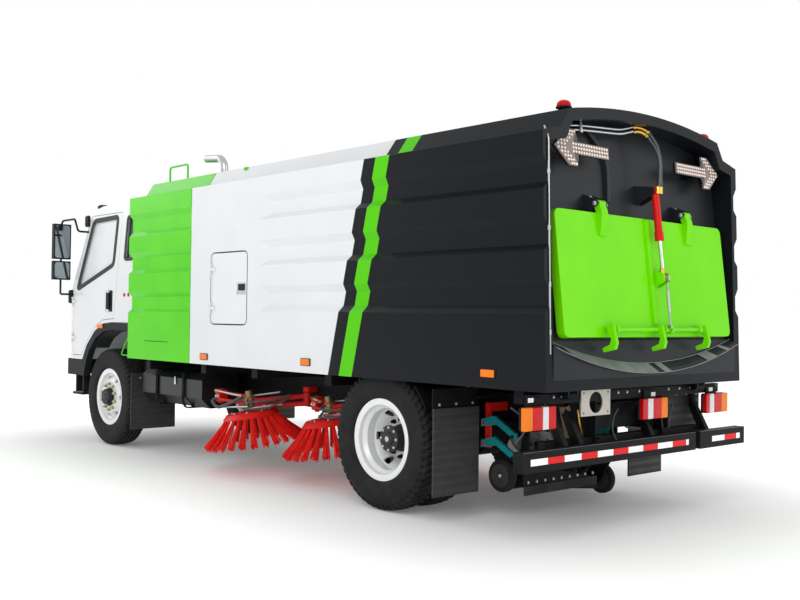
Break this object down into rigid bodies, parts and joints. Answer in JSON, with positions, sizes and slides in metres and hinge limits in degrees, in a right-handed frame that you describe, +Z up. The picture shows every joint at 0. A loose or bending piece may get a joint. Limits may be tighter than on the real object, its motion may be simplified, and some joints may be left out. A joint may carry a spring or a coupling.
{
  "type": "street sweeper truck",
  "caption": "Street sweeper truck with a forward cab, engine cabinet, tipping hopper with rear hatch, side brushes and a suction nozzle.",
  "frame": {"origin": "on the ground, in the middle of the truck's overall length and width", "axes": "+X towards the cab and the direction of travel, +Y to the driver's left, +Z up"},
  "size_m": [7.144, 2.55, 3.0028],
  "materials": {
    "chassis_black": "satin",
    "red_lens": "gloss",
    "zinc_plate": "satin",
    "cast_grey": "rough",
    "tyre_rubber": "matte",
    "rim_silver": "gloss",
    "tank_paint": "satin",
    "grey_rubber": "matte",
    "green_paint": "gloss",
    "white_paint": "gloss",
    "black_paint": "gloss",
    "red_paint": "gloss",
    "chrome_rod": "polished",
    "lamp_housing": "gloss",
    "cylinder_black": "satin",
    "clear_glass": "gloss",
    "trim_grey": "matte",
    "lamp_clear": "gloss",
    "seat_fabric": "matte",
    "cab_plastic": "matte",
    "pipe_steel": "satin",
    "teal_paint": "gloss",
    "nozzle_steel": "satin",
    "red_bristle": "matte"
  },
  "bodies": {
    "chassis": {"chassis_frame": "chassis_black", "tail_lamps": "red_lens", "hose_flange": "zinc_plate", "rear_bumper": "chassis_black", "front_axle": "chassis_black", "rear_axle": "chassis_black", "leaf_springs": "chassis_black", "engine_block": "cast_grey", "fuel_tank": "tank_paint", "rear_mudguards": "grey_rubber", "mudflaps": "grey_rubber", "tool_hangers": "red_paint", "sweeper_engine": "cast_grey", "front_cabinet": "green_paint", "exhaust_stack": "pipe_steel"},
    "hopper": {"hopper_body": "white_paint", "hopper_tail": "black_paint", "signal_lamps": "lamp_housing", "rear_pipes": "pipe_steel"},
    "hatch": {"rear_hatch": "green_paint"},
    "hatch_lock": {"lock_shaft": "green_paint"},
    "hatch_cylinder": {"hatch_barrel": "red_paint"},
    "hatch_piston": {"hatch_rod": "chrome_rod"},
    "hopper_door": {"access_door": "white_paint"},
    "lift_cylinder": {"lift_barrel": "cylinder_black"},
    "lift_piston": {"lift_rod": "chrome_rod"},
    "cab": {"cab_shell": "white_paint", "cab_glass": "clear_glass", "cab_trim": "trim_grey", "head_lamps": "lamp_clear", "mirrors": "cylinder_black", "seats": "seat_fabric", "dashboard": "cab_plastic"},
    "cab_door_left": {"cab_door_left": "white_paint"},
    "cab_door_right": {"cab_door_right": "white_paint"},
    "steering_wheel": {"steering_wheel": "cab_plastic"},
    "knuckle_left": {"knuckle_left": "cast_grey"},
    "knuckle_right": {"knuckle_right": "cast_grey"},
    "nozzle_arms_upper": {"nozzle_arm_upper": "teal_paint"},
    "nozzle_arms_lower": {"nozzle_arm_lower": "teal_paint"},
    "nozzle": {"suction_nozzle": "nozzle_steel"},
    "front_wheel_left": {"rim_front_left": "rim_silver", "tyre_front_left": "tyre_rubber"},
    "rear_wheel_left": {"rim_rear_left": "rim_silver", "tyre_rear_left": "tyre_rubber"},
    "caster_wheel_left": {"caster_left": "tyre_rubber"},
    "arm_front_left": {"brush_arm_front_left": "red_paint"},
    "brush_front_left": {"brush_front_left": "red_bristle"},
    "arm_rear_left": {"brush_arm_rear_left": "red_paint"},
    "brush_rear_left": {"brush_rear_left": "red_bristle"},
    "front_wheel_right": {"rim_front_right": "rim_silver", "tyre_front_right": "tyre_rubber"},
    "rear_wheel_right": {"rim_rear_right": "rim_silver", "tyre_rear_right": "tyre_rubber"},
    "caster_wheel_right": {"caster_right": "tyre_rubber"},
    "arm_front_right": {"brush_arm_front_right": "red_paint"},
    "brush_front_right": {"brush_front_right": "red_bristle"},
    "arm_rear_right": {"brush_arm_rear_right": "red_paint"},
    "brush_rear_right": {"brush_rear_right": "red_bristle"}
  },
  "joints": [
    {"name": "steer_left", "type": "hinge", "parent": "chassis", "child": "knuckle_left", "pos_m": [2.60199, 0.69, 0.51], "axis": [0, 0, 1], "range_deg": [-35, 35]},
    {"name": "front_wheel_left_spin", "type": "hinge", "parent": "knuckle_left", "child": "front_wheel_left", "pos_m": [2.60199, 0.86, 0.51], "axis": [0, 1, 0], "continuous": true},
    {"name": "rear_wheel_left_spin", "type": "hinge", "parent": "chassis", "child": "rear_wheel_left", "pos_m": [-1.89801, 0.81, 0.51], "axis": [0, 1, 0], "continuous": true},
    {"name": "steer_right", "type": "hinge", "parent": "chassis", "child": "knuckle_right", "pos_m": [2.60199, -0.69, 0.51], "axis": [0, 0, 1], "range_deg": [-35, 35]},
    {"name": "front_wheel_right_spin", "type": "hinge", "parent": "knuckle_right", "child": "front_wheel_right", "pos_m": [2.60199, -0.86, 0.51], "axis": [0, 1, 0], "continuous": true},
    {"name": "rear_wheel_right_spin", "type": "hinge", "parent": "chassis", "child": "rear_wheel_right", "pos_m": [-1.89801, -0.81, 0.51], "axis": [0, 1, 0], "continuous": true},
    {"name": "steering_wheel_turn", "type": "hinge", "parent": "cab", "child": "steering_wheel", "pos_m": [3.06199, 0.48, 1.69], "axis": [-0.5767, 0, 0.817], "range_deg": [-560, 560]},
    {"name": "cab_tilt", "type": "hinge", "parent": "chassis", "child": "cab", "pos_m": [3.45199, 0, 0.61], "axis": [0, 1, 0], "range_deg": [0, 45]},
    {"name": "cab_door_left_hinge", "type": "hinge", "parent": "cab", "child": "cab_door_left", "pos_m": [3.44099, 1.013, 1.32], "axis": [0, 0, -1], "range_deg": [0, 65]},
    {"name": "cab_door_right_hinge", "type": "hinge", "parent": "cab", "child": "cab_door_right", "pos_m": [3.44099, -1.013, 1.32], "axis": [0, 0, 1], "range_deg": [0, 65]},
    {"name": "hopper_tip", "type": "hinge", "parent": "chassis", "child": "hopper", "pos_m": [-3.35801, 0, 0.915], "axis": [0, -1, 0], "range_deg": [0, 45]},
    {"name": "lift_cylinder_swing", "type": "hinge", "parent": "chassis", "child": "lift_cylinder", "pos_m": [-2.59801, 0, 0.69], "axis": [0, -1, 0], "range_deg": [0, 60.19]},
    {"name": "lift_piston_slide", "type": "slide", "parent": "lift_cylinder", "child": "lift_piston", "axis": [0.9785, 0, 0.2063], "range_m": [0, 0.5204]},
    {"name": "hopper_door_hinge", "type": "hinge", "parent": "hopper", "child": "hopper_door", "pos_m": [0.31599, 1.138, 1.62], "axis": [0, 0, -1], "range_deg": [0, 100]},
    {"name": "hatch_lift", "type": "hinge", "parent": "hopper", "child": "hatch", "pos_m": [-3.39286, 0, 2.14247], "axis": [0, 1, 0], "range_deg": [0, 80]},
    {"name": "hatch_cylinder_swing", "type": "hinge", "parent": "hopper", "child": "hatch_cylinder", "pos_m": [-3.42513, -0.072, 2.27724], "axis": [0, 1, 0], "range_deg": [0, 69.8]},
    {"name": "hatch_piston_slide", "type": "slide", "parent": "hatch_cylinder", "child": "hatch_piston", "axis": [-0.1184, 0, -0.993], "range_m": [-0.147, 0]},
    {"name": "hatch_lock_turn", "type": "hinge", "parent": "hatch", "child": "hatch_lock", "pos_m": [-3.51764, 0, 1.33255], "axis": [0, 1, 0], "range_deg": [0, 45]},
    {"name": "nozzle_arms_upper_lift", "type": "hinge", "parent": "chassis", "child": "nozzle_arms_upper", "pos_m": [-2.52801, 0, 0.66], "axis": [0, 1, 0], "range_deg": [-8, 20]},
    {"name": "nozzle_arms_lower_lift", "type": "hinge", "parent": "chassis", "child": "nozzle_arms_lower", "pos_m": [-2.52801, 0, 0.515], "axis": [0, 1, 0], "range_deg": [-8, 20]},
    {"name": "nozzle_level", "type": "hinge", "parent": "nozzle_arms_upper", "child": "nozzle", "pos_m": [-2.79801, 0, 0.59], "axis": [0, 1, 0], "range_deg": [-20, 8]},
    {"name": "caster_left_spin", "type": "hinge", "parent": "nozzle", "child": "caster_wheel_left", "pos_m": [-2.63801, 0.57, 0.29953], "axis": [0, 1, 0], "continuous": true},
    {"name": "caster_right_spin", "type": "hinge", "parent": "nozzle", "child": "caster_wheel_right", "pos_m": [-2.63801, -0.57, 0.17047], "axis": [0, 1, 0], "continuous": true},
    {"name": "brush_front_left_swing", "type": "hinge", "parent": "chassis", "child": "arm_front_left", "pos_m": [-0.27801, 0.5, 0.66], "axis": [0, 0, -1], "range_deg": [0, 20]},
    {"name": "brush_front_left_spin", "type": "hinge", "parent": "arm_front_left", "child": "brush_front_left", "pos_m": [0.09399, 0.838, 0.545], "axis": [0.1048, 0.1161, 0.9877], "continuous": true},
    {"name": "brush_rear_left_swing", "type": "hinge", "parent": "chassis", "child": "arm_rear_left", "pos_m": [-1.15801, 0.56, 0.66], "axis": [0, 0, -1], "range_deg": [0, 15]},
    {"name": "brush_rear_left_spin", "type": "hinge", "parent": "arm_rear_left", "child": "brush_rear_left", "pos_m": [-0.76801, 0.62, 0.545], "axis": [0.1048, 0.1161, 0.9877], "continuous": true},
    {"name": "brush_front_right_swing", "type": "hinge", "parent": "chassis", "child": "arm_front_right", "pos_m": [-0.27801, -0.5, 0.66], "axis": [0, 0, 1], "range_deg": [0, 20]},
    {"name": "brush_front_right_spin", "type": "hinge", "parent": "arm_front_right", "child": "brush_front_right", "pos_m": [0.09399, -0.838, 0.545], "axis": [0.1048, -0.1161, 0.9877], "continuous": true},
    {"name": "brush_rear_right_swing", "type": "hinge", "parent": "chassis", "child": "arm_rear_right", "pos_m": [-1.15801, -0.56, 0.66], "axis": [0, 0, 1], "range_deg": [0, 15]},
    {"name": "brush_rear_right_spin", "type": "hinge", "parent": "arm_rear_right", "child": "brush_rear_right", "pos_m": [-0.76801, -0.62, 0.545], "axis": [0.1048, -0.1161, 0.9877], "continuous": true}
  ],
  "couplings": [
    {"joint": "steer_right", "follows": "steer_left", "ratio": 1},
    {"joint": "steering_wheel_turn", "follows": "steer_left", "ratio": 16},
    {"joint": "lift_cylinder_swing", "follows": "hopper_tip", "ratio": 1.3154},
    {"joint": "lift_piston_slide", "follows": "hopper_tip", "m_per_rad": 0.66001},
    {"joint": "hatch_cylinder_swing", "follows": "hatch_lift", "ratio": 0.86002},
    {"joint": "hatch_piston_slide", "follows": "hatch_lift", "m_per_rad": -0.10459},
    {"joint": "nozzle_arms_lower_lift", "follows": "nozzle_arms_upper_lift", "ratio": 1},
    {"joint": "nozzle_level", "follows": "nozzle_arms_upper_lift", "ratio": -1}
  ]
}
